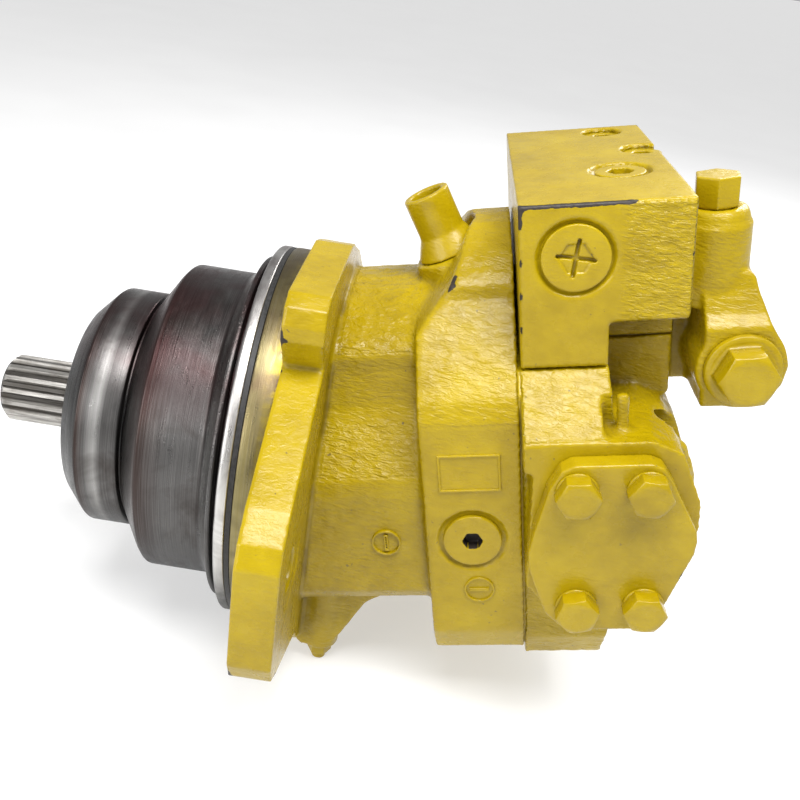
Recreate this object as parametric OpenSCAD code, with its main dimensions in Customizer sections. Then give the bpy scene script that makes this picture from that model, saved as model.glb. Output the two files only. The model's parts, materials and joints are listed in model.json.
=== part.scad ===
// Plug-in bent-axis axial piston unit. Millimetres.
// X runs along the drive shaft from its free end to the rear, Z is up.
// Origin: centre of the mounting flange's front face, on the shaft axis.

/* [Mounting] */
// Radius of the centring pilot
pilot_r = 95; // [90:0.5:100]
// Distance between the two flange bolt holes
flange_bolt_spacing = 224; // [200:1:250]
// Radius of a flange bolt hole
flange_hole_r = 9; // [7:0.5:11]
// Thickness of the mounting flange
flange_t = 18; // [15:0.5:24]

/* [Drive shaft] */
// Tip radius of the shaft spline
spline_r = 17.3; // [15:0.1:20]
// Number of spline teeth
spline_teeth = 16; // [12:1:22]
// Length of the spline
spline_l = 45; // [30:1:50]

/* [Rotating group] */
// Radius of the circle of piston balls
ball_circle_r = 33; // [30:0.5:34]
// Radius of a cylinder bore
bore_r = 11.5; // [10:0.1:12]
// Largest angle between block axis and shaft axis
swivel_max = 25; // [20:0.5:25]

/* [Rear body] */
// Tilt of the rear body to the shaft axis
body_tilt = 12.5; // [12:0.1:13]
// Distance between cover bolts along the body
port_bolt_a = 27.8; // [26:0.1:32]
// Distance between cover bolts up the body
port_bolt_h = 57.2; // [52:0.1:67]

/* [Part] */

/* [Hidden] */
$fn = 64;
yellow = [0.80, 0.66, 0.05];
steel = [0.55, 0.56, 0.58];
dark = [0.25, 0.25, 0.27];
bronze = [0.72, 0.50, 0.25];
black = [0.06, 0.06, 0.06];

pivot_x = 10;
drain_x = 79;
bleed = [29, -51, -91];
nose_x = -106;
shaft_x = nose_x - spline_l - 1;
joint_a = 104;
plate_a = joint_a + 0.5;
track_r = 115.5;
ball_r = 9.5;
piston_r = bore_r - ball_circle_r * (1 - cos(swivel_max)) / 2 - 0.15;
bore_circle_r = ball_circle_r * (1 + cos(swivel_max)) / 2;
block_r = bore_circle_r + bore_r + 5.5;
block_front = 30;
block_rear = 92;
piston_l = 58;
seat_h = 66;
block_h = 134.5;
port_a = 139;
port_z = -1;
boss_y = 94;
cover_y = 103;
stroker_a = 140;
plate_bolt_y = 63;
plate_bolt_h = [-58, 29];
control_bolts = [[152, 62], [165, 18]];
swivel_ball_a = 105.5;
spool_a = 127;
spool_h = 113;

// frames and sweeps
module rear() translate([pivot_x, 0, 0]) rotate([0, -body_tilt, 0]) children();
module block_frame() translate([pivot_x, 0, 0]) rotate([0, -swivel_max, 0]) children();
module across(pts, x0, x1)
  translate([x0, 0, 0]) rotate([90, 0, 90]) linear_extrude(x1 - x0) polygon(pts);
module side(pts, y0, y1)
  translate([0, y1, 0]) rotate([90, 0, 0]) linear_extrude(y1 - y0) polygon(pts);
module turned(pts) rotate([0, 90, 0]) rotate_extrude() polygon(pts);
module rod(r, x0, x1) translate([x0, 0, 0]) rotate([0, 90, 0]) cylinder(r = r, h = x1 - x0);
module rod_y(r, y0, y1) translate([0, y1, 0]) rotate([90, 0, 0]) cylinder(r = r, h = y1 - y0);
module ring(r0, r1, x0, x1) turned([[r0, x0], [r1, x0], [r1, x1], [r0, x1]]);
module hex(af, h) cylinder(r = af / 2 / cos(30), h = h, $fn = 6);
function both(p) = concat(p, [for (i = [len(p) - 1:-1:0]) [-p[i][0], p[i][1]]]);

// main housing
ear_half = [[-132, 42], [-143, 33], [-147, 24], [-147, -24], [-143, -33], [-132, -40],
  [-76, -68], [-64, -82], [-46, -92], [-24, -98], [0, -100]];
flange_outline = concat([[-4, 107], [-73, 107], [-80, 103], [-83, 96], [-83, 89], [-72, 74]],
  both(ear_half), [[74, 71], [58, 80], [42, 90], [22, 98], [8, 104]]);
neck_half = [[0, 86.5], [-12, 85.8], [-24, 83.5], [-36, 79.3], [-45, 75], [-50, 72], [-54, 67],
  [-53, 61], [-55, 44], [-58, 38], [-74, 16], [-75, 9], [-75, -44], [-70, -51], [-54, -59],
  [-30, -70], [0, -76]];
collar_half = [[0, 96], [-40, 94], [-50, 87], [-77, 55], [-80, 47], [-80, -64], [-74, -78.5],
  [-60, -87.5], [-45, -89.5], [0, -89.5]];
crown_half = [[-46, 80], [-46, 94.4], [-42, 98.2], [-34, 104.1], [-24, 109.2], [-12, 112.8],
  [0, 113.9]];
collar_side = [[61, -90], [61, 78], [75, 93.5], [joint_a, 93.5], [joint_a, -90]];
nose_profile = [[0, nose_x], [50, nose_x], [61.1, -95.4], [61.1, -75.5], [59, -74.5],
  [59, -73.5], [62, -72.5], [76.5, -63], [78.7, -61], [78.7, -32], [80.5, -29.5], [85, -27],
  [88.5, -25.5], [89, -23.5], [87.5, -22], [87.5, -20.4], [94, -20.4], [pilot_r, -19.4],
  [pilot_r, -15.2], [91.2, -15.2], [91.2, -12.8], [pilot_r, -12.8], [pilot_r, 0.5], [0, 0.5]];
// bore stations of the bearing housing: r, x
shaft_bores = [[0, nose_x - 1], [44, nose_x - 1], [44, nose_x + 0.5], [43, nose_x + 1.5],
  [43, -103.6], [45.5, -103.6], [45.5, -101.9], [43, -101.9], [43, -66], [38, -66],
  [38, -58], [50, -58], [50, -20], [52, -18], [52, 27], [0, 27]];

module swing_space() {
  hull() for (t = [-12.6, 12.6]) rotate([0, t, 0])
    translate([12, 0, 0]) rotate([0, 90, 0]) cylinder(r = 51, h = 112, $fn = 48);
}
module main_housing() color(yellow) {
  difference() {
    union() {
      turned(nose_profile);
      across(flange_outline, 0, flange_t);
      intersection() {
        rear() across(both(neck_half), -16, 70);
        translate([flange_t - 1, -100, -120]) cube([90, 200, 240]);
      }
      rear() intersection() {
        across(both(collar_half), 60, joint_a);
        side(collar_side, -90, 90);
      }
      // raised crown of the collar, under the drain connection
      rear() intersection() {
        across(both(crown_half), 61, joint_a);
        side([[62, 78], [75.5, 93.3], [84, 110], [87, 114.5], [joint_a, 114.5], [joint_a, 78]],
          -50, 50);
      }
      translate([drain_x, 0, 86]) rotate([0, -32.5, 0]) cylinder(r = 18, h = 30);
      // web and bleed boss below the neck
      side([[17, -50], [17, -88], [20, -91], [34, -91], [40, -80], [50, -58], [60, -50]],
        -58, -34);
      translate(bleed) cylinder(r = 9.5, h = 40);
      // cast frame for the type plate
      rear() translate([0, -80, 0]) difference() {
        translate([68.5, -0.9, 14]) cube([27, 2, 18.5]);
        translate([70, -2, 15.5]) cube([24, 2, 15.5]);
      }
    }
    turned(shaft_bores);
    rear() swing_space();
    for (s = [-1, 1]) translate([0, s * flange_bolt_spacing / 2, 0]) {
      rod(flange_hole_r, -1, flange_t + 1);
      rod(17, flange_t - 0.8, flange_t + 30);
    }
    // hole and spot face of the side plug
    rear() translate([82, 0, -12]) {
      rod_y(16, -82, -78.4);
      rod_y(11, -79, -62);
    }
    // drain bore
    translate([drain_x, 0, 86]) rotate([0, -32.5, 0]) {
      translate([0, 0, -40]) cylinder(r = 7, h = 60);
      translate([0, 0, 13]) cylinder(r = 10.5, h = 20);
      translate([0, 0, 30]) cylinder(r = 16.6, h = 30);
    }
    translate(bleed) {
      translate([0, 0, -3]) cylinder(r = 5, h = 17);
      translate([0, 0, -8]) cylinder(r = 8, h = 8.6);
      translate([0, 0, 11]) rotate([-25, 0, 0]) cylinder(r = 2.5, h = 55);
    }
    rear() plate_bolt_places() rod(6, 80, 110);
  }
}
module pilot_o_ring() color(black) ring(91.2, 94.8, -15.1, -12.9);
module seal_carrier() color(steel) difference() {
  ring(29, 43, -101.8, -95);
  turned([[28, -102.5], [30.6, -102.5], [28, -99.5]]);
}
module shaft_seal() color(black)
  turned([[20.05, -98.6], [22.4, -99.8], [22.6, -101], [29, -101], [29, -95.4], [26, -95.4],
    [26, -97.6], [21.4, -97.2]]);
module seal_circlip() color(dark) difference() {
  ring(40.5, 45.4, -103.5, -102);
  translate([-110, -4, -50]) cube([20, 8, 20]);
}

// tapered roller bearings: x of the large end, direction of the large end, radii
module race_out(x, d, r, ro, w)
  turned([[r + 0.5, x], [ro, x], [ro, x - d * w], [r - w * tan(13), x - d * w]]);
module race_in(x, d, rb, r, w) turned([[rb, x + d * 2], [r + 1.8, x + d * 2],
  [r + 1.8, x - d * 0.6], [r, x - d * 0.6], [r - w * tan(10), x - d * w],
  [r - w * tan(10) + 1, x - d * w], [r - w * tan(10) + 1, x - d * (w + 2)],
  [rb, x - d * (w + 2)]]);
module rollers(x, d, ri, ro, w, n) {
  rc = (ri + ro) / 2 - w / 2 * tan(11.5);
  for (i = [0:n - 1]) rotate([i * 360 / n, 0, 0])
    translate([x - d * w / 2, 0, rc]) rotate([0, -d * 11.5, 0]) rotate([0, d * 90, 0])
      translate([0, 0, -w / 2 + 1.6])
        cylinder(r1 = (ro - ri) / 2 - 1.1, r2 = (ro - ri) / 2 - 0.4, h = w - 3.2, $fn = 24);
  for (k = [0, 1]) {
    xm = x - d * (1.0 + k * (w - 2.6));
    rm = (ri + ro) / 2 - (x - xm) * d * tan(11.5);
    ring(rm - 1.8, rm + 1.8, min(xm, xm - d * 1.1), max(xm, xm - d * 1.1));
  }
}
module front_bearing_cup() color(steel) race_out(-86, -1, 38, 43, 20);
module front_bearing_cone() color(steel) race_in(-86, -1, 22.5, 28.5, 20);
module front_bearing_rollers() color(dark) rollers(-86, -1, 28.5, 38, 20, 17);
module rear_bearing_cup() color(steel) race_out(-26, 1, 47.3, 50, 32);
module rear_bearing_cone() color(steel) race_in(-26, 1, 27.5, 36.5, 30);
module rear_bearing_rollers() color(dark) rollers(-26, 1, 36.5, 47.3, 30, 18);

// drive shaft
module spline_section() {
  circle(r = spline_r - 2);
  for (i = [0:spline_teeth - 1]) rotate(i * 360 / spline_teeth)
    polygon([[spline_r - 3, -2.4], [spline_r, -1.05], [spline_r, 1.05], [spline_r - 3, 2.4]]);
}
module ball_places(r) for (i = [0:6])
  rotate([i * 360 / 7, 0, 0]) translate([pivot_x, 0, r]) children();
module drive_shaft() color(steel) difference() {
  union() {
    intersection() {
      translate([shaft_x, 0, 0]) rotate([0, 90, 0]) linear_extrude(spline_l + 1) spline_section();
      turned([[0, shaft_x], [14.8, shaft_x], [spline_r + 0.2, shaft_x + 2.7],
        [spline_r + 0.2, nose_x + 1], [0, nose_x + 1]]);
    }
    turned([[0, nose_x - 0.5], [19.3, nose_x - 0.5], [20, nose_x + 0.5], [20, -94], [22, -94],
      [22, -88], [22.5, -88], [22.5, -62], [24.5, -62], [24.5, -58], [27.5, -58], [27.5, -24],
      [41, -24], [41, -21], [46, -16], [49.5, -16], [49.5, pivot_x], [0, pivot_x]]);
  }
  ball_places(ball_circle_r) rod(12.1, -13.1, 1);
  translate([pivot_x, 0, 0]) sphere(r = 9.1);
  rod(2.5, -14, 3);
  translate([shaft_x - 1, 0, 0]) rotate([0, 90, 0]) cylinder(r1 = 5.2, r2 = 1, h = 9);
  rotate([180 / 7, 0, 0]) ball_places(42.6) rod(2.2, -12, 1);
}
module bearing_nut() color(dark) difference() {
  ring(22, 31, -94, -88);
  for (i = [0:3]) rotate([i * 90, 0, 0]) translate([-94.5, -3, 28.5]) cube([7, 6, 5]);
}
module retaining_plate() color(steel) difference() {
  ring(0, 48.5, pivot_x + 0.1, pivot_x + 5);
  ball_places(ball_circle_r) turned([[0, -1], [9.7, -1], [9.7, 0.3], [9.35, 2.4],
    [8.95, 3.6], [10.6, 5.3], [10.6, 6], [0, 6]]);
  translate([pivot_x, 0, 0]) turned([[0, -1], [9.2, -1], [9.2, 0.3], [8.85, 2.4],
    [8.45, 3.6], [10.2, 5.3], [10.2, 6], [0, 6]]);
  rotate([180 / 7, 0, 0]) ball_places(42.6) {
    rod(2.6, -1, 6);
    rod(4.4, 2, 6);
  }
}
module retaining_screws() color(dark) rotate([180 / 7, 0, 0]) ball_places(42.6) difference() {
  union() {
    rod(2.2, -11.5, 2.5);
    rod(4.2, 2, 4.8);
  }
  translate([3, 0, 0]) rotate([0, 90, 0]) hex(3, 3);
}

// pistons and their bearing cups
module ball_cup(i) rotate([i * 360 / 7, 0, 0]) translate([pivot_x, 0, ball_circle_r])
  difference() {
    rod(12, -13, 0);
    sphere(r = ball_r + 0.1);
    rod(1.5, -14, -8);
  }
module piston(i) translate([pivot_x, -ball_circle_r * sin(i * 360 / 7),
    ball_circle_r * cos(i * 360 / 7)]) rotate([0, -swivel_max, 0]) difference() {
  union() {
    sphere(r = ball_r);
    turned([[0, 0], [5, 0], [5, 13], [piston_r - 1.2, 30], [piston_r, 33],
      [piston_r, 44], [piston_r - 0.7, 44], [piston_r - 0.7, 44.3], [piston_r - 0.1, 44.3],
      [piston_r - 0.1, 46.3], [piston_r - 0.7, 46.3], [piston_r - 0.7, 46.6],
      [piston_r, 46.6], [piston_r, 50], [piston_r - 0.7, 50], [piston_r - 0.7, 50.3],
      [piston_r - 0.1, 50.3], [piston_r - 0.1, 52.3], [piston_r - 0.7, 52.3],
      [piston_r - 0.7, 52.6], [piston_r, 52.6], [piston_r, piston_l - 0.8],
      [piston_r - 0.8, piston_l], [0, piston_l]]);
  }
  rod(1.5, -10, 34);
  rod(5, 34, piston_l + 1);
}

// cylinder block, rest position at full swivel
module cylinder_block() color(steel) block_frame() difference() {
  turned([[0, block_front], [block_r - 9, block_front], [block_r - 6, block_front + 3],
    [block_r - 6, block_front + 6], [block_r, block_front + 10], [block_r, block_rear - 3],
    [block_r - 3, block_rear], [0, block_rear]]);
  for (i = [0:6]) rotate([i * 360 / 7, 0, 0]) translate([0, 0, bore_circle_r]) {
    rod(bore_r, block_front - 1, 76);
    rod(5.5, 75, block_rear + 1);
  }
  rod(7, block_front - 1, 60);
  rod(11, 46, 80);
  rod(4.2, 79, block_rear + 1);
}
module centre_pin() color(steel) block_frame() {
  sphere(r = 9);
  turned([[0, 0], [4.6, 0], [4.6, 20], [6.9, 24], [6.9, 46], [10.8, 46], [10.8, 50],
    [4, 50], [4, block_rear + 3.6], [0, block_rear + 3.6]]);
}
spring_turns = 5;
spring_steps = 20;
spring_n = spring_turns * spring_steps;
function coil(i, j) = let (a = i * 360 / spring_steps, b = j * 45, r = 8 + 1.1 * cos(b),
  x = 51.2 + 27.6 * i / spring_n + 1.1 * sin(b)) [x, r * cos(a), r * sin(a)];
module centre_spring() color(dark) block_frame() polyhedron(
  points = [for (i = [0:spring_n], j = [0:7]) coil(i, j)],
  faces = concat([[for (j = [0:7]) j]], [[for (j = [7:-1:0]) spring_n * 8 + j]],
    [for (i = [0:spring_n - 1], j = [0:7])
      [i * 8 + j, (i + 1) * 8 + j, (i + 1) * 8 + (j + 1) % 8, i * 8 + (j + 1) % 8]]));

// control lens and stroking piston
module control_lens() color(bronze) block_frame() difference() {
  union() {
    rod(46, block_rear + 0.05, 98);
    intersection() {
      translate([97, -40, -26]) cube([20, 80, 52]);
      rod_y(track_r - 0.05, -41, 41);
    }
  }
  for (t = [20, 200]) translate([block_rear - 1, 0, 0]) rotate([t, 0, 0]) rotate([0, 90, 0])
    rotate([0, 0, 180]) rotate_extrude(angle = 140) translate([26, 0]) square([11, 26]);
  rod(4.1, block_rear - 1, 96.5);
  rod(7.4, 97.5, 120);
}
module rest_stroke() rear() translate([0, 0, swivel_ball_a * tan(body_tilt)]) children();
module stroking_piston() color(steel) rest_stroke() translate([stroker_a, 0, 0]) difference() {
  union() {
    translate([0, 0, -30]) cylinder(r = 14.5, h = 60);
    for (z = [-30, -19, 14, 25]) translate([0, 0, z]) cylinder(r = 15.95, h = 5);
  }
  rod(5.5, -20, 20);
  for (z = [-31, 20]) translate([0, 0, z]) cylinder(r = 7, h = 11);
}
module swivel_pin() color(dark) rest_stroke() {
  translate([swivel_ball_a, 0, 0]) sphere(r = 6);
  rod(4.3, swivel_ball_a, stroker_a - 10);
  rod(5.45, stroker_a - 14, stroker_a + 12);
}

// port plate
plate_half = [[0, seat_h], [-70, seat_h], [-78, 58], [-78, -70], [-70, -86], [-58, -93],
  [0, -93]];
plate_side = [[plate_a, -96], [140, -96], [143, -66], [160, -50], [172, -26], [177, 0],
  [177, 18], [173, 32], [166, 38], [143, 42], [141, 70], [plate_a, 70]];
boss_side = [[plate_a, -26], [plate_a + 4, 36], [113, 44], [156, 44], [168, 38], [176, 14],
  [176, 2], [164, -32], [156, -46], [124, -46], [110, -34]];
cover_side = [[105.5, -10], [105.5, -2], [108, 8], [114, 28], [119, 36.5], [124, 39],
  [154, 39], [159, 36.5], [163, 29], [173, 6], [173.5, 1], [172.5, -5], [162, -31],
  [158, -38], [152, -43.5], [124, -43.5], [118, -41], [112, -34], [107.5, -18]];
module cover_bolt_places() for (a = [-0.5, 0.5], h = [-0.5, 0.5])
  translate([port_a + a * port_bolt_a, 0, port_z + h * port_bolt_h]) children();
module plate_bolt_places() for (y = [-plate_bolt_y, plate_bolt_y], h = plate_bolt_h)
  translate([0, y, h]) children();
module port_plate() color(yellow) rear() difference() {
  union() {
    intersection() {
      across(both(plate_half), plate_a, 182);
      side(plate_side, -80, 80);
    }
    side(boss_side, -boss_y, boss_y);
    for (s = [0, 1]) mirror([0, s, 0])
      translate([plate_a, 0, 0]) rotate([90, 0, 90]) linear_extrude(33)
        polygon([[60, seat_h], [70, seat_h], [boss_y, 43], [boss_y, 30], [60, 30]]);
    // pad under the control block
    side([[140, 34], [140, seat_h], [172, seat_h], [172, 38], [166, 34]], -40, 72);
    // small cast peg beside the pad, and the boss of the stop screw
    translate([145, -82, 40]) cylinder(r = 3, h = 20);
    translate([stroker_a, 0, -93]) cylinder(r = 19, h = 45);
  }
  rod_y(track_r + 0.05, -40.5, 40.5);
  // pin slot, pressure channels and ports
  translate([108, -6, -31]) cube([stroker_a - 108, 12, 62]);
  translate([stroker_a, 0, -60]) cylinder(r = 16, h = 140);
  translate([stroker_a, 0, -94]) cylinder(r = 14, h = 44);
  for (s = [-1, 1]) {
    translate([108, s * 27 - 6, -20]) cube([30, 12, 32]);
    translate([port_a, 0, port_z]) rod_y(12.5, s > 0 ? 22 : -boss_y - 1, s > 0 ? boss_y + 1 : -22);
    translate([port_a, 0, port_z]) rod_y(18, s > 0 ? boss_y - 2.4 : -boss_y - 1,
      s > 0 ? boss_y + 1 : -boss_y + 2.4);
  }
  cover_bolt_places() {
    rod_y(6, -boss_y - 1, -boss_y + 18);
    rod_y(6, boss_y - 18, boss_y + 1);
  }
  plate_bolt_places() {
    rod(7, 100, 190);
    rod(11, 133, 190);
  }
  for (p = control_bolts) translate([p[0], p[1], 43]) cylinder(r = 5.1, h = 25);
}
module port_plate_gasket() color(dark) rear() difference() {
  across([[-78, 54], [-78, -60], [-70, -74], [-58, -80], [58, -80], [70, -74], [78, -60],
    [78, 54], [60, 64], [-60, 64]], joint_a, plate_a);
  swing_space();
  plate_bolt_places() rod(7, 100, 110);
}
module port_plate_bolts() color(dark) rear() plate_bolt_places() difference() {
  union() {
    rod(6, 82, 134);
    rod(10.5, 133, 146);
  }
  translate([139, 0, 0]) rotate([0, 90, 0]) hex(12, 10);
}
module port_cover() difference() {
  side(cover_side, boss_y + 0.2, cover_y);
  cover_bolt_places() rod_y(6.6, boss_y - 1, cover_y + 1);
}
module near_port_cover() color(yellow) rear() mirror([0, 1, 0]) port_cover();
module far_port_cover() color(yellow) rear() port_cover();
module cover_bolts() cover_bolt_places() {
  rod_y(6, boss_y - 16, cover_y + 1);
  translate([0, cover_y + 1.2, 0]) rotate([-90, 0, 0]) hex(17, 7.4);
  rod_y(9.2, cover_y, cover_y + 1.4);
}
module near_cover_bolts() color(yellow) rear() mirror([0, 1, 0]) cover_bolts();
module far_cover_bolts() color(yellow) rear() cover_bolts();
module cover_seal() translate([port_a, boss_y - 2.3, port_z]) rotate([-90, 0, 0])
  rotate_extrude() polygon([[14.6, 0], [17.8, 0], [17.8, 2.5], [14.6, 2.5]]);
module near_cover_seal() color(black) rear() mirror([0, 1, 0]) cover_seal();
module far_cover_seal() color(black) rear() cover_seal();
module stroke_stop_screw() color(dark) rear() translate([stroker_a, 0, 0]) difference() {
  union() {
    translate([0, 0, -86]) cylinder(r = 14, h = 26);
    translate([0, 0, -61]) cylinder(r = 6, h = 6);
  }
  translate([0, 0, -87]) hex(12, 9);
}

// control block on the port plate
module control_gasket() color(dark) rear() difference() {
  translate([0, 0, seat_h]) linear_extrude(0.6) polygon([[108, -68], [139, -68], [139, -38],
    [170, -38], [170, 70], [108, 70]]);
  translate([stroker_a, 0, seat_h - 1]) cylinder(r = 18, h = 3);
  for (p = control_bolts) translate([p[0], p[1], seat_h - 1]) cylinder(r = 6, h = 3);
}
module control_block() color(yellow) rear() difference() {
  union() {
    side([[105, seat_h + 0.6], [105, block_h], [172, block_h], [172, 85.5], [140.5, 85.5],
      [140.5, seat_h + 0.6]], -71, 76);
    side([[140, seat_h + 0.6], [140, 88], [172, 88], [172, seat_h + 0.6]], -40, 76);
  }
  // spool bore and plug holes
  translate([spool_a, 0, spool_h]) {
    rod_y(15.5, -72, -69);
    rod_y(12, -70, -56);
    rod_y(9, -57, 50);
  }
  translate([150, -21, block_h - 2.5]) {
    cylinder(r = 12.8, h = 4);
    translate([0, 0, -14]) cylinder(r = 9, h = 15);
  }
  for (p = control_bolts) translate([p[0], p[1], 0]) {
    translate([0, 0, 50]) cylinder(r = 5.5, h = 90);
    translate([0, 0, block_h - 12]) cylinder(r = 9.4, h = 14);
  }
}
module control_block_bolts() color(yellow) rear()
  for (p = control_bolts) translate([p[0], p[1], 0]) difference() {
    union() {
      translate([0, 0, 44]) cylinder(r = 5, h = block_h - 55);
      translate([0, 0, block_h - 12]) cylinder(r = 9, h = 10);
    }
    translate([0, 0, block_h - 7]) hex(8, 6);
  }
module front_plug() color(yellow) rear() translate([spool_a, 0, spool_h]) difference() {
  union() {
    rod_y(13.6, -71.4, -69);
    rod_y(12, -70, -57);
  }
  translate([0, -70.6, 0]) rotate([90, 0, 0]) hex(12, 2);
  for (t = [10, 100]) rotate([0, t, 0]) translate([-8, -72, -0.8]) cube([16, 3, 1.6]);
}
module top_plug() color(yellow) rear() translate([150, -21, block_h - 2.5]) difference() {
  union() {
    cylinder(r = 10.8, h = 2);
    translate([0, 0, -12]) cylinder(r = 9, h = 12.5);
  }
  translate([0, 0, -2]) hex(10, 5);
}
module control_spool() color(steel) rear() translate([spool_a, 0, spool_h]) {
  rod_y(5.5, -50, 44);
  for (y = [-50, -22, 6, 34]) rod_y(8.95, y, y + 10);
}

// valve arm behind the control block
arm_boss = [197, 57];
module end_valve_body() color(yellow) rear() difference() {
  union() {
    translate([187, -34, 0]) rotate_extrude() polygon([[0, 80], [15.4, 80], [15.4, 114.5],
      [14, 116], [13.8, 118.5], [12.2, 121], [0, 121]]);
    side([[172, 84], [172, 112], [187, 112], [187, 84]], -46, -22);
    side([[172, 40], [172, 96], [183, 96], [183, 40]], -30, -21);
    intersection() {
      side([[181, 39], [200, 39], [209, 41.5], [214.5, 48], [216.5, 57], [214, 66],
        [208.5, 75], [207, 80], [204, 88], [203, 93], [200, 96], [181, 96]], -58, -20);
      across([[-58, 30], [-58, 75], [-53, 80], [-48, 90], [-46, 98], [-20, 98], [-20, 30]],
        180, 218);
    }
    translate([arm_boss[0], 0, arm_boss[1]]) rod_y(19, -58, -20);
  }
  translate([arm_boss[0], 0, arm_boss[1]]) rod_y(11, -60, -34);
  translate([187, -34, 100]) cylinder(r = 8, h = 30);
  translate([150, -60, 78]) cube([22.05, 50, 50]);
}
module end_valve_plug() color(yellow) rear() translate([arm_boss[0], 0, arm_boss[1]]) {
  rod_y(11, -59, -38);
  rod_y(16, -61, -58);
  translate([0, -61, 0]) rotate([90, 15, 0]) hex(22, 11);
}
module end_valve_cap() color(yellow) rear() translate([187, -34, 0]) {
  translate([0, 0, 104]) cylinder(r = 8, h = 20);
  translate([0, 0, 121]) rotate(20) hex(17, 12.5);
}

// small fittings
module collar_plug() color(yellow) rear() translate([82, 0, -12]) difference() {
  union() {
    rod_y(13, -80.6, -78.4);
    rod_y(11, -79, -63);
  }
  translate([0, -75, 0]) rotate([90, 0, 0]) hex(8, 8);
}
module drain_nipple() color(yellow) translate([drain_x, 0, 86]) rotate([0, -32.5, 0]) difference() {
  union() {
    translate([0, 0, 14]) cylinder(r = 10.5, h = 17);
    translate([0, 0, 30]) cylinder(r1 = 15.6, r2 = 11, h = 9.5);
    translate([0, 0, 38.5]) cylinder(r = 10.7, h = 20.5);
  }
  translate([0, 0, 13]) cylinder(r = 7.5, h = 48);
}
module bleed_screw() color(yellow) translate(bleed) difference() {
  union() {
    cylinder(r = 5, h = 13);
    translate([0, 0, -6.5]) hex(11, 7);
    translate([0, 0, -11]) cylinder(r = 3.6, h = 5);
  }
  translate([0, 0, -12]) cylinder(r = 1.4, h = 26);
}

module ball_cup_1() color(bronze) ball_cup(0);
module ball_cup_2() color(bronze) ball_cup(1);
module ball_cup_3() color(bronze) ball_cup(2);
module ball_cup_4() color(bronze) ball_cup(3);
module ball_cup_5() color(bronze) ball_cup(4);
module ball_cup_6() color(bronze) ball_cup(5);
module ball_cup_7() color(bronze) ball_cup(6);
module piston_1() color(steel) piston(0);
module piston_2() color(steel) piston(1);
module piston_3() color(steel) piston(2);
module piston_4() color(steel) piston(3);
module piston_5() color(steel) piston(4);
module piston_6() color(steel) piston(5);
module piston_7() color(steel) piston(6);

main_housing();
pilot_o_ring();
seal_carrier();
shaft_seal();
seal_circlip();
front_bearing_cup();
rear_bearing_cup();
port_plate_gasket();
port_plate();
port_plate_bolts();
near_port_cover();
far_port_cover();
near_cover_bolts();
far_cover_bolts();
near_cover_seal();
far_cover_seal();
control_gasket();
control_block();
control_block_bolts();
front_plug();
top_plug();
end_valve_body();
end_valve_plug();
end_valve_cap();
collar_plug();
drain_nipple();
bleed_screw();
stroke_stop_screw();
drive_shaft();
front_bearing_cone();
rear_bearing_cone();
bearing_nut();
retaining_plate();
retaining_screws();
front_bearing_rollers();
rear_bearing_rollers();
cylinder_block();
centre_pin();
centre_spring();
control_lens();
stroking_piston();
swivel_pin();
control_spool();
ball_cup_1();
ball_cup_2();
ball_cup_3();
ball_cup_4();
ball_cup_5();
ball_cup_6();
ball_cup_7();
piston_1();
piston_2();
piston_3();
piston_4();
piston_5();
piston_6();
piston_7();
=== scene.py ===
import json
import math

import bmesh
import bpy
import numpy as np
from mathutils import Matrix, Vector, noise


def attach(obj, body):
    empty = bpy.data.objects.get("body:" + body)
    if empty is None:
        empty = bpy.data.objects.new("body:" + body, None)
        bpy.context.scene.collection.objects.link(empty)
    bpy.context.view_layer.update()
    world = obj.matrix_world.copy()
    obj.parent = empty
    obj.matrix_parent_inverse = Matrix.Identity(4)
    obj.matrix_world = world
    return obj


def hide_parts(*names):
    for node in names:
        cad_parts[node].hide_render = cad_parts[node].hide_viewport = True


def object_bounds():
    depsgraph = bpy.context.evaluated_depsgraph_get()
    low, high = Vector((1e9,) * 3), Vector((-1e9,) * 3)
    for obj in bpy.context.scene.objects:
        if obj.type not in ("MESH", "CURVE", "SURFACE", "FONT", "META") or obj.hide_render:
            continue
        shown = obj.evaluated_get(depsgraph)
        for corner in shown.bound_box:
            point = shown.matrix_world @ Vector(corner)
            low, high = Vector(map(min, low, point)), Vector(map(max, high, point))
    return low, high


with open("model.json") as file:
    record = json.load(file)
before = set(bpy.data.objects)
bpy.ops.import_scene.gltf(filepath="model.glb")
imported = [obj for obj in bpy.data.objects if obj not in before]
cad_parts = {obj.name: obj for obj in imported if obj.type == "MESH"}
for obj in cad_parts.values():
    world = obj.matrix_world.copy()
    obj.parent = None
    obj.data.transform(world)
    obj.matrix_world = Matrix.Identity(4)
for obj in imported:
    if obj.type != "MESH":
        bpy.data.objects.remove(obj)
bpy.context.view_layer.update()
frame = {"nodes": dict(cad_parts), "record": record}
NODES = frame["nodes"]
SLOTS = {s["node"]: s["material_slot"] for s in frame["record"]["subparts"]}
MM = 0.001

# The rear body leans back about a cross axis: a runs along it, h stands square to it.
PIVOT_X = 10.0
TILT = math.radians(12.5)
REAR = Matrix.Translation((PIVOT_X * MM, 0, 0)) @ Matrix.Rotation(-TILT, 4, "Y")

# places and levels in the rear body's own millimetres: a, y, h
SIDE_PLUG = (82, -80, -12)
SPOOL_PLUG = (127, -71, 113)
VALVE_PLUG = (197, -58, 57)
PORT_A, PORT_H, COVER_Y = 139.0, -1.0, 103.0
BOLT_A, BOLT_H = 13.9, 28.6
BLOCK_FRONT, BLOCK_REAR, BLOCK_SIDE, BLOCK_TOP = 105, 172, -71, 134.5
COLLAR_END, PLATE_START, BOSS_Y, SEAT_H = 104.0, 104.5, 94.0, 66.0
PLUG_FACE_R = 19
FLANGE_BACK = 18 * MM


def rear(a, y, h):
    """Millimetres in the rear body's own directions, as a point of the row frame."""
    return REAR @ (Vector((a, y, h)) * MM)


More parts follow.
